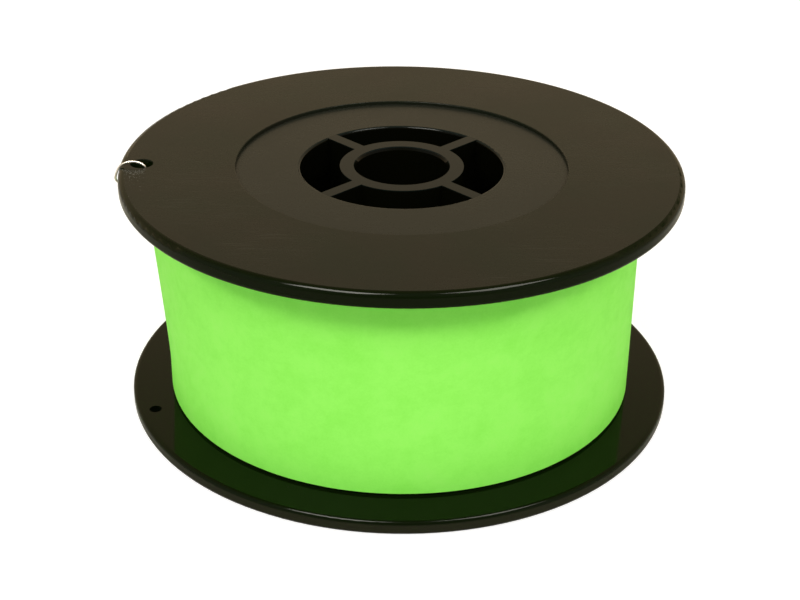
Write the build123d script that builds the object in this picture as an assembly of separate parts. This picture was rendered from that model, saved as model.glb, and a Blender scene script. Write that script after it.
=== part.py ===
import math
import os

from build123d import *

# Overall sizes, mm. The axis is Z, and the lower flange's outer face lies on z = 0.
flange_diameter = 100.0
spool_width = 45.0
bore_diameter = 16.5

# Flanges
rim_thickness = 2.8
root_thickness = 3.3  # at the barrel: the inner faces slope, so that the moulding leaves its tool
outer_edge_radius = 1.1
inner_edge_radius = 0.7
recess_diameter = 59.0
recess_depth = 0.65
recess_edge_radius = 0.15
mouth_edge_radius = 0.5

# Barrel, hub tube and the ribs between them
barrel_diameter = 41.0
barrel_wall = 2.5
hub_wall = 2.8
lead_in_width = 0.33  # of the tapered lead-in at both ends of the bore
lead_in_depth = 0.6
rib_thickness = 2.25
rib_count = 4
rib_angle = 45.0  # of the first rib, degrees from +X

# The two halves meet half way up, where a spigot on the lower barrel enters the upper one.
spigot_height = 4.0
spigot_wall = 1.2
spigot_clearance = 0.05
spigot_end_clearance = 0.2

# Wire holes through the flanges, wider at the outer face
upper_hole_radius = 46.0
upper_hole_angle = 182.7
lower_hole_radius = 47.0
lower_hole_angle = 200.3
hole_inner_diameter = 2.2
hole_outer_diameter = 4.1

# Wire and winding
wire_diameter = 0.4
winding_radius = 42.0
winding_end_gap = 0.35  # between the winding's ends and the flange roots
winding_clearance = 0.03

# Inner end of the wire, which goes in through a hole in the lower half's barrel and is bent over
start_hole_diameter = 1.6
start_height = 9.0
start_reach = 3.0  # from the barrel's inner wall to the bend
start_bend_radius = 1.2
start_end_length = 3.5  # of the bent end, along the wall

# Outer end of the wire: up under the band, out through the upper flange and hooked over its rim
tail_points = [
    (-39.65, 14.8, 5.2),
    (-41.55, 8.4, 5.4),
    (-42.28, 1.6, 6.2),
    (-42.5, -1.8, 10.5),
    (-43.4, -2.3, 19.0),
    (-44.3, -2.7, 29.5),
    (-45.2, -2.8, 37.5),
    (-45.65, -2.7, 41.8),
    (-45.3, -3.2, 43.6),
    (-44.95, -3.75, 45.15),
    (-46.4, -3.5, 45.95),
    (-48.4, -3.5, 45.85),
    (-49.7, -3.6, 45.1),
    (-50.5, -3.6, 43.2),
    (-50.5, -3.6, 42.25),
    (-49.8, -3.6, 41.85),
]
arc_share = 0.45  # of the shorter run beside a corner, taken up by its arc

# Paper band round the winding, lifted where the wire runs up under it
band_thickness = 0.2
band_clearance = 0.6  # winding to band, which leaves room for one wire
band_end_gap = 0.12  # between the band's edges and the flange roots
lift_start = 4.0  # height where the lifted stretch begins
lift_height = 3.5  # how far the band's top edge stands off there
lift_angle = 183.2
lift_sections = 6
lap_length = 12.0
lap_angle = 62.0

flange_radius = flange_diameter / 2
bore_radius = bore_diameter / 2
hub_radius = bore_radius + hub_wall
barrel_radius = barrel_diameter / 2
barrel_inner_radius = barrel_radius - barrel_wall
recess_radius = recess_diameter / 2
joint_height = spool_width / 2
spigot_radius = barrel_inner_radius + spigot_wall
spigot_top = joint_height + spigot_height
winding_low = root_thickness + winding_end_gap
winding_high = spool_width - winding_low
band_inner_radius = winding_radius + band_clearance
band_outer_radius = band_inner_radius + band_thickness
band_low = root_thickness + band_end_gap
band_high = spool_width - band_low


def at(radius, angle, height):
    """The point at a radius and an angle round the axis."""
    turn = math.radians(angle)
    return Vector(radius * math.cos(turn), radius * math.sin(turn), height)


def tube(outer, inner, low, high):
    ring = Circle(outer) - Circle(inner)
    return extrude(Pos(0, 0, low) * ring, high - low)


def circle_edges(shape, radius, height):
    """The round edges of that radius at that height."""
    return [
        edge
        for edge in shape.edges().filter_by(GeomType.CIRCLE)
        if abs(edge.radius - radius) < 0.01 and abs(edge.center().Z - height) < 0.01
    ]


def revolved_half():
    """Flange, barrel and hub tube of one half, turned round the axis."""
    flange = Polyline(
        (barrel_inner_radius, recess_depth),
        (recess_radius, recess_depth),
        (recess_radius, 0),
        (flange_radius, 0),
        (flange_radius, rim_thickness),
        (barrel_radius, root_thickness),
        (barrel_radius, joint_height),
        (barrel_inner_radius, joint_height),
        close=True,
    )
    hub = Polyline(
        (bore_radius, recess_depth + lead_in_depth),
        (bore_radius + lead_in_width, recess_depth),
        (hub_radius, recess_depth),
        (hub_radius, joint_height),
        (bore_radius, joint_height),
        close=True,
    )
    shape = None
    for outline in (flange, hub):
        turned = revolve(Plane.XZ * make_face(outline), Axis.Z)
        shape = turned if shape is None else shape + turned
    return shape


def half(hole_radius, hole_angle):
    """One half of the spool with its outer face down and its wire hole cut."""
    shape = revolved_half()
    rib_length = barrel_inner_radius - hub_radius
    rib_overlap = 0.5  # into the walls at both ends
    for number in range(rib_count):
        rib = Box(rib_length + 2 * rib_overlap, rib_thickness, joint_height - recess_depth)
        place = Pos(hub_radius + rib_length / 2, 0, (joint_height + recess_depth) / 2)
        shape += Rot(0, 0, rib_angle + number * 360 / rib_count) * place * rib
    shape = fillet(circle_edges(shape, flange_radius, 0), outer_edge_radius)
    shape = fillet(circle_edges(shape, flange_radius, rim_thickness), inner_edge_radius)
    shape = fillet(circle_edges(shape, recess_radius, 0), recess_edge_radius)
    shape = fillet(circle_edges(shape, barrel_inner_radius, recess_depth), mouth_edge_radius)
    slope = (root_thickness - rim_thickness) / (flange_radius - barrel_radius)
    thickness = rim_thickness + slope * (flange_radius - hole_radius)
    taper = (hole_outer_diameter - hole_inner_diameter) / thickness
    run_out = 0.5  # how far the cutting cone runs past both faces
    cone = Cone(
        (hole_outer_diameter + taper * run_out) / 2,
        (hole_inner_diameter - taper * run_out) / 2,
        thickness + 2 * run_out,
    )
    centre = at(hole_radius, hole_angle, thickness / 2)
    return shape - Pos(centre) * cone


def lower_half():
    """The half with the spigot, and with the hole that takes the wire's inner end."""
    shape = half(lower_hole_radius, lower_hole_angle)
    spigot_root = 1.0  # how far the spigot's tube runs back into its own barrel
    shape += tube(spigot_radius, barrel_inner_radius, joint_height - spigot_root, spigot_top)
    hole = Rot(90, 0, 0) * Cylinder(start_hole_diameter / 2, 2 * barrel_wall)
    return shape - Pos(0, barrel_radius - barrel_wall / 2, start_height) * hole


def upper_half():
    """The same half turned over, with a socket for the spigot."""
    shape = Pos(0, 0, spool_width) * Rot(180, 0, 0) * half(upper_hole_radius, -upper_hole_angle)
    return shape - tube(
        spigot_radius + spigot_clearance,
        barrel_inner_radius - spigot_clearance,
        joint_height,
        spigot_top + spigot_end_clearance,
    )


def wire_along(path):
    """A round wire swept along a path of straight runs and arcs."""
    section = Plane(path @ 0, z_dir=path % 0) * Circle(wire_diameter / 2)
    wire = sweep(section, path=path)
    expected = math.pi * wire_diameter**2 / 4 * path.length
    print("wire length", round(path.length, 2), "volume share", round(wire.volume / expected, 4))
    return wire


def wire_start():
    """The wire's inner end: straight in through the barrel, then bent up inside it."""
    outside = barrel_radius + winding_clearance
    inside = barrel_inner_radius - start_reach
    path = FilletPolyline(
        (0, outside, start_height),
        (0, inside, start_height),
        (0, inside, start_height + start_end_length),
        radius=start_bend_radius,
    )
    return wire_along(path)


def wire_tail():
    """The wire's outer end, with each corner of its route as round as its runs allow."""
    points = [Vector(*point) for point in tail_points]
    radii = []
    for before, corner, after in zip(points, points[1:], points[2:]):
        run = min((corner - before).length, (after - corner).length)
        turn = math.radians((corner - before).get_angle(after - corner))
        radii.append(arc_share * run / math.tan(turn / 2))
    print("tail radii", [round(radius, 2) for radius in radii])
    return wire_along(FilletPolyline(*points, radius=radii))


def wire_winding():
    return tube(winding_radius, barrel_radius + winding_clearance, winding_low, winding_high)


def lift_solid(radius, low, high):
    """The ridge that the wire lifts, as tangents from its crest to the band's circle."""
    faces = []
    for number in range(lift_sections + 1):
        share = number / lift_sections
        crest = radius + 0.02 + lift_height * share
        spread = math.degrees(math.acos(radius / crest))
        height = low + (high - low) * share
        corners = [
            at(0.9 * radius, lift_angle, height),
            at(radius, lift_angle - spread, height),
            at(crest, lift_angle, height),
            at(radius, lift_angle + spread, height),
        ]
        faces.append(make_face(Polyline(*corners, close=True)))
    return loft(faces, ruled=True)


def wrap_band():
    """The paper band: a tube with a lifted ridge and a lap where its end is stuck down."""
    height = band_high - band_low
    shapes = []
    for radius in (band_outer_radius, band_inner_radius):
        round_part = Pos(0, 0, band_low + height / 2) * Cylinder(radius, height)
        shapes.append(round_part + lift_solid(radius, lift_start, band_high))
    band = shapes[0] - shapes[1]
    lap = tube(band_outer_radius + band_thickness, band_outer_radius, band_low, band_high)
    sector = Pos(band_outer_radius, 0, spool_width / 2) * Box(2 * band_thickness + 2, lap_length, spool_width)
    return band + (lap & (Rot(0, 0, lap_angle) * sector))


def export(shape, name):
    export_step(shape.solid(), f"parts/{name}.step")
    print(name, "solids", len(shape.solids()), "volume", round(shape.volume, 1))


os.makedirs("parts", exist_ok=True)
for make in (lower_half, upper_half, wire_winding, wire_start, wire_tail, wrap_band):
    export(make(), make.__name__)
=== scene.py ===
import math

import bpy
from mathutils import Matrix, Vector


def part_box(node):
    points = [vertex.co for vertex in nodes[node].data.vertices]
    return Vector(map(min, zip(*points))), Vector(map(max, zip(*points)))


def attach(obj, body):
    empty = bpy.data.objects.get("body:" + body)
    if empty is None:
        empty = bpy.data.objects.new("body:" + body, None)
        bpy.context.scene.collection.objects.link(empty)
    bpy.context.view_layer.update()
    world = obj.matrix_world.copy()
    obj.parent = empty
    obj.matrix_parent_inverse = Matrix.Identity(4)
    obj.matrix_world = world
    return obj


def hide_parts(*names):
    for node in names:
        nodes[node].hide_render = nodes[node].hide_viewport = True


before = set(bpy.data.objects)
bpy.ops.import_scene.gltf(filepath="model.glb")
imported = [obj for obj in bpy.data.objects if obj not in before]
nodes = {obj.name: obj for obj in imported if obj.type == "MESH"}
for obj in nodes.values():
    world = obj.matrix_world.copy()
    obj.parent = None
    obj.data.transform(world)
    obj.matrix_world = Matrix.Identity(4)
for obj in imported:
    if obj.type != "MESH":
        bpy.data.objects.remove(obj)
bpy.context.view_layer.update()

mm = 0.001
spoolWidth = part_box("upper_half")[1].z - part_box("lower_half")[0].z
midHeight = spoolWidth / 2


# Camera: aimed at the spool's axis from the front and above, then tilted and rolled a little
cameraView = {
    "distance": 0.30774,
    "elevation": 31.086,
    "tilt": 2.803,  # degrees that the aim stands above the spool's foot
    "pan": -0.008,
    "roll": 0.682,
    "lens": 72.4,
    "sensor": 36,
    "clip": (0.01, 20),
}


def makeCamera():
    v = cameraView
    high = math.radians(v["elevation"])
    down = math.radians(v["elevation"] - v["tilt"])
    side = math.radians(v["pan"])
    roll = math.radians(v["roll"])
    ahead = Vector((math.sin(side) * math.cos(down), math.cos(side) * math.cos(down), -math.sin(down)))
    right = ahead.cross(Vector((0, 0, 1))).normalized()
    up = right.cross(ahead)
    rolledRight = right * math.cos(roll) + up * math.sin(roll)
    rolledUp = up * math.cos(roll) - right * math.sin(roll)
    place = Matrix((rolledRight, rolledUp, -ahead)).transposed().to_4x4()
    place.translation = Vector((0, -math.cos(high), math.sin(high))) * v["distance"]
    data = bpy.data.cameras.new("camera")
    data.lens = v["lens"]
    data.sensor_width = v["sensor"]
    data.clip_start, data.clip_end = v["clip"]
    camera = bpy.data.objects.new("camera", data)
    bpy.context.scene.collection.objects.link(camera)
    camera.matrix_world = place
    bpy.context.scene.camera = camera


makeCamera()
print("camera placed")


# Selection and small mesh tools
def selectOnly(*objects):
    if bpy.context.object and bpy.context.object.mode != "OBJECT":
        bpy.ops.object.mode_set(mode="OBJECT")
    bpy.ops.object.select_all(action="DESELECT")
    for one in objects:
        one.select_set(True)
    bpy.context.view_layer.objects.active = objects[0] if objects else None


def applyModifiers(obj):
    selectOnly(obj)
    for modifier in list(obj.modifiers):
        bpy.ops.object.modifier_apply(modifier=modifier.name)


def applyPlace(obj):
    selectOnly(obj)
    bpy.ops.object.transform_apply(location=True, rotation=True, scale=True)


def smoothByAngle(obj, degrees):
    selectOnly(obj)
    bpy.ops.object.shade_smooth_by_angle(angle=math.radians(degrees))


def selectOpenEdges():
    # in edit mode: only the edges that bound a hole
    bpy.ops.mesh.select_all(action="DESELECT")
    bpy.ops.mesh.select_mode(type="EDGE")
    bpy.ops.mesh.select_non_manifold()


def turnFacesOut():
    # in edit mode, and back to object mode after it
    bpy.ops.mesh.select_all(action="SELECT")
    bpy.ops.mesh.normals_make_consistent(inside=False)
    bpy.ops.object.mode_set(mode="OBJECT")


def finishPiece(obj, node):
    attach(obj, "root")
    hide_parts(node)


# Node tree tools
def addNode(tree, kind, inputs=None, **settings):
    node = tree.nodes.new(kind)
    for name, value in settings.items():
        setattr(node, name, value)
    for name, value in (inputs or {}).items():
        if isinstance(value, bpy.types.NodeSocket):
            tree.links.new(value, node.inputs[name])
        else:
            node.inputs[name].default_value = value
    return node


def mathNode(tree, operation, first, second=0.0, clamp=False):
    node = addNode(tree, "ShaderNodeMath", {0: first, 1: second}, operation=operation)
    node.use_clamp = clamp
    return node.outputs[0]


def timesNode(tree, first, second, clamp=False):
    return mathNode(tree, "MULTIPLY", first, second, clamp)


def rangeNode(tree, value, low, high, newLow=0.0, newHigh=1.0):
    node = addNode(tree, "ShaderNodeMapRange", {"Value": value, "From Min": low, "From Max": high,
                                                "To Min": newLow, "To Max": newHigh})
    return node.outputs["Result"]


def noiseNode(tree, where, scale, detail, rough):
    node = addNode(tree, "ShaderNodeTexNoise", {"Vector": where, "Scale": scale, "Detail": detail,
                                                "Roughness": rough})
    return node.outputs["Fac"]


def mixColours(tree, share, first, second):
    node = addNode(tree, "ShaderNodeMix", data_type="RGBA")
    for index, value in ((0, share), (6, first), (7, second)):
        if isinstance(value, bpy.types.NodeSocket):
            tree.links.new(value, node.inputs[index])
        else:
            node.inputs[index].default_value = (*value, 1) if index else value
    return node.outputs[2]


# Effects that the materials share, as node groups
sharedEffects = {
    "grainDrop": 0.22,  # scale of the coarse grain, as a share of the fine grain's
    "scratchRuns": [(0.5, 14.0), (2.1, 18.0), (1.2, 26.0)],  # turn, and how far it is drawn out
    "rubbedScale": 55.0,
    "sharpness": 14.0,  # how hard the edges of scratches and specks are
}


def newGroup(name, inputs, outputs):
    group = bpy.data.node_groups.new(name, "ShaderNodeTree")
    for label, kind, value in inputs:
        socket = group.interface.new_socket(name=label, in_out="INPUT", socket_type=kind)
        if value is not None:
            socket.default_value = value
    for label, kind in outputs:
        group.interface.new_socket(name=label, in_out="OUTPUT", socket_type=kind)
    start = group.nodes.new("NodeGroupInput")
    end = group.nodes.new("NodeGroupOutput")
    return group, start, end


def useGroup(tree, group, **inputs):
    node = tree.nodes.new("ShaderNodeGroup")
    node.node_tree = group
    for name, value in inputs.items():
        socket = node.inputs[name.replace("_", " ")]
        if isinstance(value, bpy.types.NodeSocket):
            tree.links.new(value, socket)
        else:
            socket.default_value = value
    return node


def makeGrainGroup():
    # Fine moulded or fibrous grain: a mask from 0 to 1 made of two sizes of noise
    group, start, end = newGroup("fineGrain",
        [("Coordinates", "NodeSocketVector", None), ("Scale", "NodeSocketFloat", 2000.0),
         ("Coarse Share", "NodeSocketFloat", 0.4)],
        [("Grain", "NodeSocketFloat")])
    where = start.outputs["Coordinates"]
    fine = noiseNode(group, where, start.outputs["Scale"], 4.0, 0.6)
    wide = timesNode(group, start.outputs["Scale"], sharedEffects["grainDrop"])
    coarse = noiseNode(group, where, wide, 2.0, 0.5)
    mix = addNode(group, "ShaderNodeMix", {0: start.outputs["Coarse Share"], 2: fine, 3: coarse})
    group.links.new(mix.outputs[0], end.inputs["Grain"])
    return group


def makeScuffGroup():
    # Thin handling scratches in three directions, and where they lie thickest
    group, start, end = newGroup("scuffs",
        [("Coordinates", "NodeSocketVector", None), ("Scale", "NodeSocketFloat", 60.0),
         ("Cut", "NodeSocketFloat", 0.62)],
        [("Scratches", "NodeSocketFloat"), ("Rubbed", "NodeSocketFloat")])
    where = start.outputs["Coordinates"]
    scratches = None
    for turn, drawnOut in sharedEffects["scratchRuns"]:
        place = addNode(group, "ShaderNodeMapping", {"Vector": where, "Rotation": (0, 0, turn),
                                                     "Scale": (1.0, drawnOut, 1.0)})
        noise = noiseNode(group, place.outputs["Vector"], start.outputs["Scale"], 2.0, 0.5)
        cut = mathNode(group, "SUBTRACT", noise, start.outputs["Cut"])
        run = timesNode(group, cut, sharedEffects["sharpness"], clamp=True)
        scratches = run if scratches is None else mathNode(group, "MAXIMUM", scratches, run)
    wearAndPaintedFloorLight = rangeNode(group, noiseNode(group, where, sharedEffects["rubbedScale"], 2.0, 0.5), 0.42, 0.7)
    group.links.new(timesNode(group, scratches, wearAndPaintedFloorLight), end.inputs["Scratches"])
    group.links.new(wearAndPaintedFloorLight, end.inputs["Rubbed"])
    return group


def makeSpeckGroup():
    # Sparse round specks, such as dust or dark fibres, by cells of which only some count
    group, start, end = newGroup("specks",
        [("Coordinates", "NodeSocketVector", None), ("Scale", "NodeSocketFloat", 500.0),
         ("Share", "NodeSocketFloat", 0.08), ("Size", "NodeSocketFloat", 0.16)],
        [("Specks", "NodeSocketFloat")])
    cells = addNode(group, "ShaderNodeTexVoronoi", {"Vector": start.outputs["Coordinates"],
                                                    "Scale": start.outputs["Scale"]})
    pick = addNode(group, "ShaderNodeSeparateColor", {"Color": cells.outputs["Color"]})
    chosen = mathNode(group, "LESS_THAN", pick.outputs["Red"], start.outputs["Share"])
    size = timesNode(group, start.outputs["Size"], pick.outputs["Green"])
    near = mathNode(group, "SUBTRACT", size, cells.outputs["Distance"])
    inside = timesNode(group, near, sharedEffects["sharpness"], clamp=True)
    group.links.new(timesNode(group, inside, chosen), end.inputs["Specks"])
    return group


grainGroup = makeGrainGroup()
scuffGroup = makeScuffGroup()
speckGroup = makeSpeckGroup()


def newMaterial(name):
    material = bpy.data.materials.new(name)
    material.use_nodes = True
    tree = material.node_tree
    shader = next(n for n in tree.nodes if n.type == "BSDF_PRINCIPLED")
    where = tree.nodes.new("ShaderNodeTexCoord")
    return material, tree, shader, where


def addBump(tree, shader, height, distance):
    bump = addNode(tree, "ShaderNodeBump", {"Height": height, "Distance": distance})
    tree.links.new(bump.outputs["Normal"], shader.inputs["Normal"])


# Black spool plastic: satin outside, polished between the flanges
spoolLook = {
    "black": (0.0092, 0.0124, 0.0070),
    "brownBlack": (0.0116, 0.0122, 0.0076),
    "flowScale": 70.0,  # of the drift between the two blacks
    # polished faces: black tinted green, partly a painted reflection of the green paper band
    "polishedBlackAndGreenReflection": (0.0030, 0.0062, 0.0008),
    # painted shade: the inside of the hub, below its face, coloured darker than the rest of the plastic
    "hubPaintedShade": (0.0020, 0.0022, 0.0008),
    "recessTint": (0.0178, 0.0195, 0.0145),
    "hubTint": (0.0052, 0.0088, 0.0078),
    "specular": 0.08,
    "satinRoughness": 0.30,
    "satinSpread": 0.04,
    "polishRoughness": (0.06, 0.11),
    "satinDepth": 0.8 * mm,  # the satin finish covers the outer faces to this depth,
    "satinRadius": 48.9 * mm,  # and out to where the rim's rounding starts
    "mouthRadius": 18.5 * mm,  # inside it the hub tube and ribs are polished
    "softEdge": 0.05 * mm,  # over which one finish turns into the next
    "holes": [  # radius, angle and flange of each wire hole
        (46.0 * mm, 182.7, "upper"),
        (47.0 * mm, 200.3, "lower"),
    ],
    "holeSize": 2.0 * mm,
    "recessRadius": 29.4 * mm,
    "floorLitRim": (0.0155, 0.0165, 0.0085),  # painted floor light: the lower rim coloured lighter, for the light bounced up onto it from the floor
    "floorLitHeight": 2.0 * mm,
    "floorLitFade": (0.4 * mm, 0.3 * mm),  # outwards and upwards
    "grain": {"Scale": 5200.0, "Coarse_Share": 0.35},
    "grainDepth": 0.012 * mm,
    "scuffs": {"Scale": 120.0, "Cut": 0.63},
    "scuffTint": 0.10,
    "scuffRoughness": 0.12,
    "scuffCut": 0.3,  # how deep a scratch is, as a share of the grain's depth
    "rubbedPolish": -0.05,
    "dust": (0.10, 0.10, 0.08),
    "specks": {"Scale": 650.0, "Share": 0.035, "Size": 0.14},
    "speckTint": 0.35,
    "speckRoughness": 0.3,
}


def makeFinishMasks(tree, place):
    # Where each finish lies: on a flange's face, in the hub, satin, recessed, and the lower rim's band of
    # painted floor light
    look = spoolLook
    soft = look["softEdge"]
    axes = addNode(tree, "ShaderNodeSeparateXYZ", {"Vector": place})
    height = axes.outputs["Z"]
    outward = addNode(tree, "ShaderNodeCombineXYZ", {"X": axes.outputs["X"], "Y": axes.outputs["Y"]})
    length = addNode(tree, "ShaderNodeVectorMath", {0: outward.outputs[0]}, operation="LENGTH")
    radius = length.outputs["Value"]
    skin = midHeight - look["satinDepth"]
    offMiddle = mathNode(tree, "ABSOLUTE", mathNode(tree, "SUBTRACT", height, midHeight))
    face = rangeNode(tree, offMiddle, skin - soft, skin)
    inHub = rangeNode(tree, radius, look["mouthRadius"], look["mouthRadius"] - soft)
    inRim = rangeNode(tree, radius, look["satinRadius"] + 2 * soft, look["satinRadius"])
    pastMouth = rangeNode(tree, radius, look["mouthRadius"] - soft, look["mouthRadius"])
    satin = timesNode(tree, timesNode(tree, face, inRim), pastMouth)
    for reach, angle, flange in look["holes"]:
        turn = math.radians(angle)
        centre = (reach * math.cos(turn), reach * math.sin(turn), 0)
        away = addNode(tree, "ShaderNodeVectorMath", {0: outward.outputs[0], 1: centre}, operation="DISTANCE")
        beside = rangeNode(tree, away.outputs["Value"], look["holeSize"] - soft, look["holeSize"])
        compare = "LESS_THAN" if flange == "upper" else "GREATER_THAN"
        otherFlange = mathNode(tree, compare, height, midHeight)
        satin = timesNode(tree, satin, mathNode(tree, "MAXIMUM", beside, otherFlange))
    recess = rangeNode(tree, radius, look["recessRadius"] + soft, look["recessRadius"] - soft)
    # painted floor light: a band round the lower rim's foot, to be coloured lighter as if lit from the floor
    # below
    fadeOut, fadeUp = look["floorLitFade"]
    wearAndPaintedFloorLight = timesNode(tree, rangeNode(tree, radius, look["satinRadius"], look["satinRadius"] + fadeOut),
                       rangeNode(tree, height, look["floorLitHeight"] + fadeUp, look["floorLitHeight"]))
    return {"face": face, "inHub": inHub, "satin": satin, "recess": recess, "wearAndPaintedFloorLight": wearAndPaintedFloorLight}


def makeSpoolPlastic():
    look = spoolLook
    material, tree, shader, where = newMaterial("spoolPlastic")
    place = where.outputs["Object"]
    masks = makeFinishMasks(tree, place)
    grain = useGroup(tree, grainGroup, Coordinates=place, **look["grain"]).outputs["Grain"]
    scuffs = useGroup(tree, scuffGroup, Coordinates=place, **look["scuffs"])
    specks = useGroup(tree, speckGroup, Coordinates=place, **look["specks"]).outputs["Specks"]
    flow = noiseNode(tree, place, look["flowScale"], 3.0, 0.5)
    scratched = timesNode(tree, scuffs.outputs["Scratches"], masks["satin"])

    base = mixColours(tree, rangeNode(tree, flow, 0.35, 0.65), look["black"], look["brownBlack"])
    base = mixColours(tree, masks["recess"], base, look["recessTint"])
    # polished faces get the black with its painted green reflection
    base = mixColours(tree, masks["satin"], look["polishedBlackAndGreenReflection"], base)
    # inside the hub: the tint at its face, and painted shade deeper in
    hubTintAndShade = mixColours(tree, masks["face"], look["hubPaintedShade"], look["hubTint"])
    base = mixColours(tree, masks["inHub"], base, hubTintAndShade)
    # painted floor light: the lower rim made lighter
    base = mixColours(tree, masks["wearAndPaintedFloorLight"], base, look["floorLitRim"])
    base = mixColours(tree, timesNode(tree, scratched, look["scuffTint"]), base, look["dust"])
    base = mixColours(tree, timesNode(tree, specks, look["speckTint"]), base, look["dust"])
    tree.links.new(base, shader.inputs["Base Color"])

    spread = look["satinSpread"]
    satin = rangeNode(tree, grain, 0.3, 0.7, look["satinRoughness"] - spread, look["satinRoughness"] + spread)
    satin = mathNode(tree, "ADD", satin, timesNode(tree, scuffs.outputs["Rubbed"], look["rubbedPolish"]))
    satin = mathNode(tree, "ADD", satin, timesNode(tree, scratched, look["scuffRoughness"]))
    polish = rangeNode(tree, flow, 0.3, 0.7, *look["polishRoughness"])
    rough = addNode(tree, "ShaderNodeMix", {0: masks["satin"], 2: polish, 3: satin}).outputs[0]
    rough = mathNode(tree, "ADD", rough, timesNode(tree, specks, look["speckRoughness"]))
    tree.links.new(rough, shader.inputs["Roughness"])
    shader.inputs["Specular IOR Level"].default_value = look["specular"]

    height = timesNode(tree, grain, masks["satin"])
    height = mathNode(tree, "SUBTRACT", height, timesNode(tree, scratched, look["scuffCut"]))
    addBump(tree, shader, height, look["grainDepth"])
    return material


# Green wrapping paper
paperLook = {
    "green": (0.345, 0.905, 0.150),
    "deepGreen": (0.274, 0.815, 0.104),
    "paintedGlowColour": (0.0, 1.0, 0.0),  # painted light: an even green glow of the paper's own, for its fluorescent pigment, which lifts its shaded parts too
    "paintedGlowStrength": 0.125,
    "roughness": (0.54, 0.68),
    "specular": 0.35,
    "fibres": {"Scale": 2600.0, "Coarse_Share": 0.5},
    "cloudScale": 160.0,
    "driftScale": 22.0,
    "mottle": (0.45, 0.25, 0.3),  # shares of cloud, drift and fibres in the colour
    "relief": 0.03 * mm,
    "speck": (0.14, 0.55, 0.05),
    "specks": {"Scale": 330.0, "Share": 0.05, "Size": 0.16},
    "speckTint": 0.22,
}


def makeBandPaper():
    look = paperLook
    material, tree, shader, where = newMaterial("bandPaper")
    place = where.outputs["UV"]
    fibres = useGroup(tree, grainGroup, Coordinates=place, **look["fibres"]).outputs["Grain"]
    cloud = noiseNode(tree, place, look["cloudScale"], 4.0, 0.6)
    drift = noiseNode(tree, place, look["driftScale"], 2.0, 0.5)
    specks = useGroup(tree, speckGroup, Coordinates=place, **look["specks"]).outputs["Specks"]

    cloudShare, driftShare, fibreShare = look["mottle"]
    mottle = mathNode(tree, "ADD", timesNode(tree, cloud, cloudShare), timesNode(tree, drift, driftShare))
    mottle = mathNode(tree, "ADD", mottle, timesNode(tree, fibres, fibreShare))
    base = mixColours(tree, rangeNode(tree, mottle, 0.38, 0.62), look["green"], look["deepGreen"])
    base = mixColours(tree, timesNode(tree, specks, look["speckTint"]), base, look["speck"])
    tree.links.new(base, shader.inputs["Base Color"])
    tree.links.new(rangeNode(tree, fibres, 0.3, 0.7, *look["roughness"]), shader.inputs["Roughness"])
    shader.inputs["Specular IOR Level"].default_value = look["specular"]
    # painted light: the paper glows green evenly, also where it lies in shade
    shader.inputs["Emission Color"].default_value = (*look["paintedGlowColour"], 1)
    shader.inputs["Emission Strength"].default_value = look["paintedGlowStrength"]

    height = mathNode(tree, "ADD", timesNode(tree, fibres, 0.5), timesNode(tree, cloud, 0.5))
    addBump(tree, shader, height, look["relief"])
    return material


# Bright drawn wire
wireLook = {
    "bright": (0.84, 0.81, 0.74),
    "dull": (0.66, 0.62, 0.54),
    "tarnishScale": 900.0,
    "roughness": (0.29, 0.42),
    "drawn": {"Scale": 9000.0, "Coarse_Share": 0.3},
    "drawnDepth": 0.004 * mm,
}


def makeWireMetal():
    look = wireLook
    material, tree, shader, where = newMaterial("wireMetal")
    place = where.outputs["Object"]
    tarnish = noiseNode(tree, place, look["tarnishScale"], 3.0, 0.6)
    drawn = useGroup(tree, grainGroup, Coordinates=place, **look["drawn"]).outputs["Grain"]
    base = mixColours(tree, rangeNode(tree, tarnish, 0.4, 0.75), look["bright"], look["dull"])
    tree.links.new(base, shader.inputs["Base Color"])
    shader.inputs["Metallic"].default_value = 1.0
    tree.links.new(rangeNode(tree, drawn, 0.3, 0.7, *look["roughness"]), shader.inputs["Roughness"])
    addBump(tree, shader, drawn, look["drawnDepth"])
    return material


spoolPlastic = makeSpoolPlastic()
bandPaper = makeBandPaper()
wireMetal = makeWireMetal()
print("materials made")


# Wire end: the route of the wire's free end, from the winding to the hook over the rim
wireEnd = {
    "diameter": 0.4 * mm,
    "length": 62.2 * mm,
    "route": [
        (-39.65, 14.8, 5.2),
        (-41.55, 8.4, 5.4),
        (-42.28, 1.6, 6.2),
        (-42.5, -1.8, 10.5),
        (-43.4, -2.3, 19.0),
        (-44.3, -2.7, 29.5),
        (-45.2, -2.8, 37.5),
        (-45.65, -2.7, 41.8),
        (-45.3, -3.2, 43.6),
        (-44.95, -3.75, 45.15),
        (-46.4, -3.5, 45.95),
        (-48.4, -3.5, 45.85),
        (-49.7, -3.6, 45.1),
        (-50.5, -3.6, 43.2),
        (-50.5, -3.6, 42.25),
        (-49.8, -3.6, 41.85),
    ],
    "smoothness": 12,
    "roundness": 6,
}


def makeWireEnd():
    points = [Vector(point) * mm for point in wireEnd["route"]]
    curve = bpy.data.curves.new("wireEnd", "CURVE")
    curve.dimensions = "3D"
    spline = curve.splines.new("NURBS")
    spline.points.add(len(points) - 1)
    for point, place in zip(spline.points, points):
        point.co = (*place, 1)
    spline.order_u = 3
    spline.use_endpoint_u = True
    spline.resolution_u = wireEnd["smoothness"]
    curve.bevel_depth = wireEnd["diameter"] / 2
    curve.bevel_resolution = wireEnd["roundness"]
    curve.use_fill_caps = True
    piece = bpy.data.objects.new("wireEnd", curve)
    bpy.context.scene.collection.objects.link(piece)
    curve.materials.append(wireMetal)
    finishPiece(piece, "wire_tail")


makeWireEnd()
print("wire end made")


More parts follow.
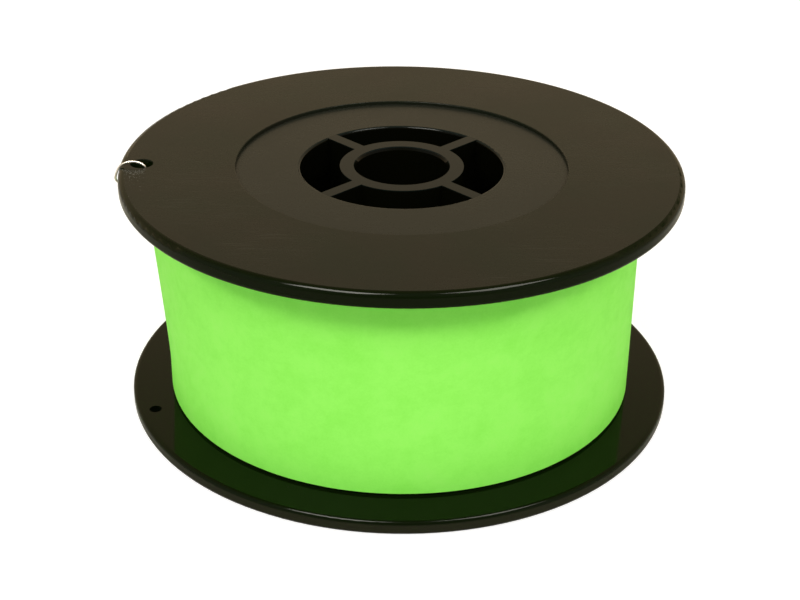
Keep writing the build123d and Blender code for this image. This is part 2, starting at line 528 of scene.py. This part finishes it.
# Winding: a packed core, and over it the outermost layer as real turns of wire
winding = {
    "innerRadius": 20.56 * mm,
    "coreRadius": 41.68 * mm,
    "layerRadius": 41.80 * mm,
    "pitch": 0.402 * mm,
    "sides": 6,
    "steps": 96,
    "coreSegments": 128,
    "endRings": 26,  # rings on each end of the core, which show as the layers' edges,
    "ringDepth": 0.12 * mm,  # as every other one is sunk by this much
    "smoothAngle": 70,
}


def makeWindingLayer(low, high):
    # one round section of wire, turned up the winding by a screw modifier
    w = winding
    wireRadius = wireEnd["diameter"] / 2
    selectOnly()
    bpy.ops.mesh.primitive_circle_add(vertices=w["sides"], radius=wireRadius,
                                      location=(w["layerRadius"], 0, low + wireRadius),
                                      rotation=(math.pi / 2, 0, 0))
    layer = bpy.context.object
    applyPlace(layer)
    screw = layer.modifiers.new("turns", "SCREW")
    screw.axis = "Z"
    screw.angle = 2 * math.pi
    screw.screw_offset = w["pitch"]
    screw.iterations = int((high - low - 2 * wireRadius) / w["pitch"])
    screw.steps = w["steps"]
    screw.render_steps = w["steps"]
    screw.use_merge_vertices = False
    applyModifiers(layer)
    bpy.ops.object.mode_set(mode="EDIT")
    selectOpenEdges()
    bpy.ops.mesh.edge_face_add()
    turnFacesOut()
    return layer


def makeWindingCore(low, high):
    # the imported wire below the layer: a ring, extruded out, up and in again, and closed
    w = winding
    radius, height = w["innerRadius"], low
    selectOnly()
    bpy.ops.mesh.primitive_circle_add(vertices=w["coreSegments"], radius=radius, location=(0, 0, low))
    core = bpy.context.object
    bpy.ops.object.mode_set(mode="EDIT")
    bpy.ops.mesh.select_all(action="SELECT")
    wall = w["coreRadius"] - w["innerRadius"]
    rings = []
    for number in range(1, w["endRings"] + 1):
        sunk = w["ringDepth"] if number % 2 else 0
        rings.append((w["innerRadius"] + wall * number / w["endRings"], low + sunk))
    rings += [(ringRadius, high + low - ringHeight) for ringRadius, ringHeight in reversed(rings)]
    rings.append((w["innerRadius"], high))
    for newRadius, newHeight in rings:
        bpy.ops.mesh.extrude_region_move(TRANSFORM_OT_translate={"value": (0, 0, newHeight - height)})
        scale = newRadius / radius
        bpy.ops.transform.resize(value=(scale, scale, 1), center_override=(0, 0, newHeight))
        radius, height = newRadius, newHeight
    selectOpenEdges()
    bpy.ops.mesh.bridge_edge_loops()
    turnFacesOut()
    applyPlace(core)
    return core


def makeWinding():
    low, high = (corner.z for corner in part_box("wire_winding"))
    layer = makeWindingLayer(low, high)
    core = makeWindingCore(low, high)
    selectOnly(layer, core)
    bpy.ops.object.join()
    layer.name = "woundWire"
    layer.data.name = "woundWire"
    layer.data.materials.clear()
    layer.data.materials.append(wireMetal)
    smoothByAngle(layer, winding["smoothAngle"])
    finishPiece(layer, "wire_winding")


makeWinding()
print("winding made")


# Paper band: a strip wrapped round the winding, with a lap, lifted by the wire under it
band = {
    "radius": 42.62 * mm,
    "thickness": 0.17 * mm,
    "around": 420,
    "up": 36,
    "smoothAngle": 40,
    "lapLength": 12 * mm,
    "lapAngle": 62.0,
    "lapLead": 0.02,  # radians before the lap where the paper starts to climb,
    "lapRamp": 0.03,  # and those that it takes to climb
    "lapStep": 1.25,  # thicknesses that it climbs
    "liftAngle": 183.2,  # where the wire under the paper lifts it,
    "liftFoot": 4.0 * mm,  # from this height
    "liftTop": 3.3 * mm,  # by this much at the upper edge
    "leastLift": 0.02 * mm,
    "crestRound": 0.35 * mm,
    "crestLift": 0.35,  # share of the rounding that the crest is raised again by
}


def lapRise(along):
    # how far the paper's end stands off to lie over its start
    climbed = (along - 2 * math.pi + band["lapLead"]) / band["lapRamp"]
    return max(0.0, min(1.0, climbed)) * band["thickness"] * band["lapStep"]


def paperRadius(angle, height, top):
    # the paper runs straight from the winding to the lifting wire, and is rounded over it
    b = band
    share = max(0.0, (height - b["liftFoot"]) / (top - b["liftFoot"]))
    crest = b["radius"] + b["leastLift"] + b["liftTop"] * share
    spread = math.acos(b["radius"] / crest)
    off = abs((angle - math.radians(b["liftAngle"]) + math.pi) % (2 * math.pi) - math.pi)
    if off >= spread:
        return b["radius"]
    below = crest - b["radius"] / math.cos(spread - off)
    soft = b["crestRound"]
    return max(crest - math.hypot(below, soft) + soft * b["crestLift"], b["radius"])


def makeBand():
    b = band
    low, high = (corner.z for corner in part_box("wrap_band"))
    lapTurn = b["lapLength"] / b["radius"]
    total = 2 * math.pi + lapTurn
    start = math.radians(b["lapAngle"]) - lapTurn
    columns, rows = b["around"], b["up"]
    vertices, faces, coordinates = [], [], []
    for i in range(columns + 1):
        along = total * i / columns
        angle = start + along
        for j in range(rows + 1):
            height = low + (high - low) * j / rows
            radius = paperRadius(angle, height, high) + lapRise(along)
            vertices.append((radius * math.cos(angle), radius * math.sin(angle), height))
            coordinates.append((along * b["radius"], height))
    for i in range(columns):
        for j in range(rows):
            corner = i * (rows + 1) + j
            faces.append((corner, corner + rows + 1, corner + rows + 2, corner + 1))
    mesh = bpy.data.meshes.new("paperBand")
    mesh.from_pydata(vertices, [], faces)
    unrolled = mesh.uv_layers.new(name="UVMap")
    for loop in mesh.loops:
        unrolled.data[loop.index].uv = coordinates[loop.vertex_index]
    piece = bpy.data.objects.new("paperBand", mesh)
    bpy.context.scene.collection.objects.link(piece)
    wall = piece.modifiers.new("thickness", "SOLIDIFY")
    wall.thickness = b["thickness"]
    wall.offset = 1.0
    applyModifiers(piece)
    mesh.materials.append(bandPaper)
    smoothByAngle(piece, b["smoothAngle"])
    finishPiece(piece, "wrap_band")


makeBand()
print("band made")


# The spool's halves and the wire's inner end keep their own meshes
def dressNode(name, material):
    nodes[name].data.materials.clear()
    nodes[name].data.materials.append(material)


dressNode("lower_half", spoolPlastic)
dressNode("upper_half", spoolPlastic)
dressNode("wire_start", wireMetal)
print("spool dressed")


# Studio: white floor and backdrop, soft surround, two highlight lamps and three fill lamps
studio = {
    "floorSize": 4.0,
    "floorGap": 0.05 * mm,
    "floorSeen": 0.40,  # how much of the floor's own shading the camera sees,
    "floorGlow": 0.80,  # over an even white
    "floorBounce": (0.64, 0.635, 0.60),
    "frontSky": (0.20, 0.198, 0.19),
    "sideSky": (0.71, 0.69, 0.635),
    "backSky": (0.82, 0.625, 0.39),
    "frontToSide": (-0.92, -0.60),  # how far back the front sky fades to the side sky,
    "sideToBack": (-0.25, 0.35),  # and the side sky to the back sky
    "skyFade": (0.45, 0.85),  # how far up the sky dims
    "topSky": 0.55,  # brightness overhead, as a share of that near the floor
    "lamps": [  # azimuth from the front, elevation, width, height, power, only mirrored in gloss
        (-37, 62, 0.38, 0.33, 11.6, True),
        (60, 62, 0.38, 0.33, 7.4, True),
        (-52, 42, 0.50, 0.14, 2.2, False),
        (0, 47, 0.90, 0.14, 2.9, False),
        (52, 42, 0.50, 0.14, 2.0, False),
    ],
    "lampDistance": 0.9,
    "lampTint": (1.0, 0.97, 0.88),
}
white = (1, 1, 1, 1)


def addSplitByRay(tree, lighting, seen, outputKind):
    # one shader lights the spool and shows in its gloss, the other is what the camera sees
    path = tree.nodes.new("ShaderNodeLightPath")
    split = addNode(tree, "ShaderNodeMixShader", {0: path.outputs["Is Camera Ray"],
                                                  1: lighting.outputs[0], 2: seen.outputs[0]})
    end = tree.nodes.new(outputKind)
    tree.links.new(split.outputs[0], end.inputs["Surface"])


def makeFloor():
    s = studio
    selectOnly()
    bpy.ops.mesh.primitive_plane_add(size=s["floorSize"], location=(0, 0, -s["floorGap"]))
    floor = bpy.context.object
    floor.name = "floor"
    applyPlace(floor)
    material = bpy.data.materials.new("floorPaint")
    material.use_nodes = True
    tree = material.node_tree
    tree.nodes.clear()
    bounce = addNode(tree, "ShaderNodeBsdfDiffuse", {"Color": (*s["floorBounce"], 1)})
    shade = addNode(tree, "ShaderNodeBsdfDiffuse", {"Color": (*[s["floorSeen"]] * 3, 1)})
    glow = addNode(tree, "ShaderNodeEmission", {"Color": white, "Strength": s["floorGlow"]})
    seen = addNode(tree, "ShaderNodeAddShader", {0: shade.outputs[0], 1: glow.outputs[0]})
    addSplitByRay(tree, bounce, seen, "ShaderNodeOutputMaterial")
    floor.data.materials.append(material)


def makeSurround():
    s = studio
    world = bpy.data.worlds.new("surround")
    bpy.context.scene.world = world
    world.use_nodes = True
    tree = world.node_tree
    tree.nodes.clear()
    where = tree.nodes.new("ShaderNodeTexCoord")
    axes = addNode(tree, "ShaderNodeSeparateXYZ", {"Vector": where.outputs["Generated"]})
    level = rangeNode(tree, axes.outputs["Z"], *s["skyFade"], 1.0, s["topSky"])
    sky = mixColours(tree, rangeNode(tree, axes.outputs["Y"], *s["frontToSide"]), s["frontSky"], s["sideSky"])
    sky = mixColours(tree, rangeNode(tree, axes.outputs["Y"], *s["sideToBack"]), sky, s["backSky"])
    light = addNode(tree, "ShaderNodeBackground", {"Color": sky, "Strength": level})
    backdrop = addNode(tree, "ShaderNodeBackground", {"Color": white, "Strength": 1.0})
    addSplitByRay(tree, light, backdrop, "ShaderNodeOutputWorld")


def makeLamps():
    s = studio
    for number, (azimuth, elevation, width, height, power, glossOnly) in enumerate(s["lamps"]):
        name = f"softbox{number}"
        data = bpy.data.lights.new(name, "AREA")
        data.shape = "RECTANGLE"
        data.size = width
        data.size_y = height
        data.energy = power
        data.color = s["lampTint"]
        lamp = bpy.data.objects.new(name, data)
        bpy.context.scene.collection.objects.link(lamp)
        lamp.visible_glossy = glossOnly
        lamp.visible_diffuse = not glossOnly
        turn, high = math.radians(azimuth), math.radians(elevation)
        towards = Vector((math.sin(turn) * math.cos(high), -math.cos(turn) * math.cos(high), math.sin(high)))
        lamp.location = towards * s["lampDistance"] + Vector((0, 0, midHeight))
        lamp.rotation_euler = towards.to_track_quat("Z", "Y").to_euler()


def setColourView():
    view = bpy.context.scene.view_settings
    view.view_transform = "Standard"
    view.look = "None"
    view.exposure = 0
    view.gamma = 1


makeFloor()
makeSurround()
makeLamps()
setColourView()
print("studio made")
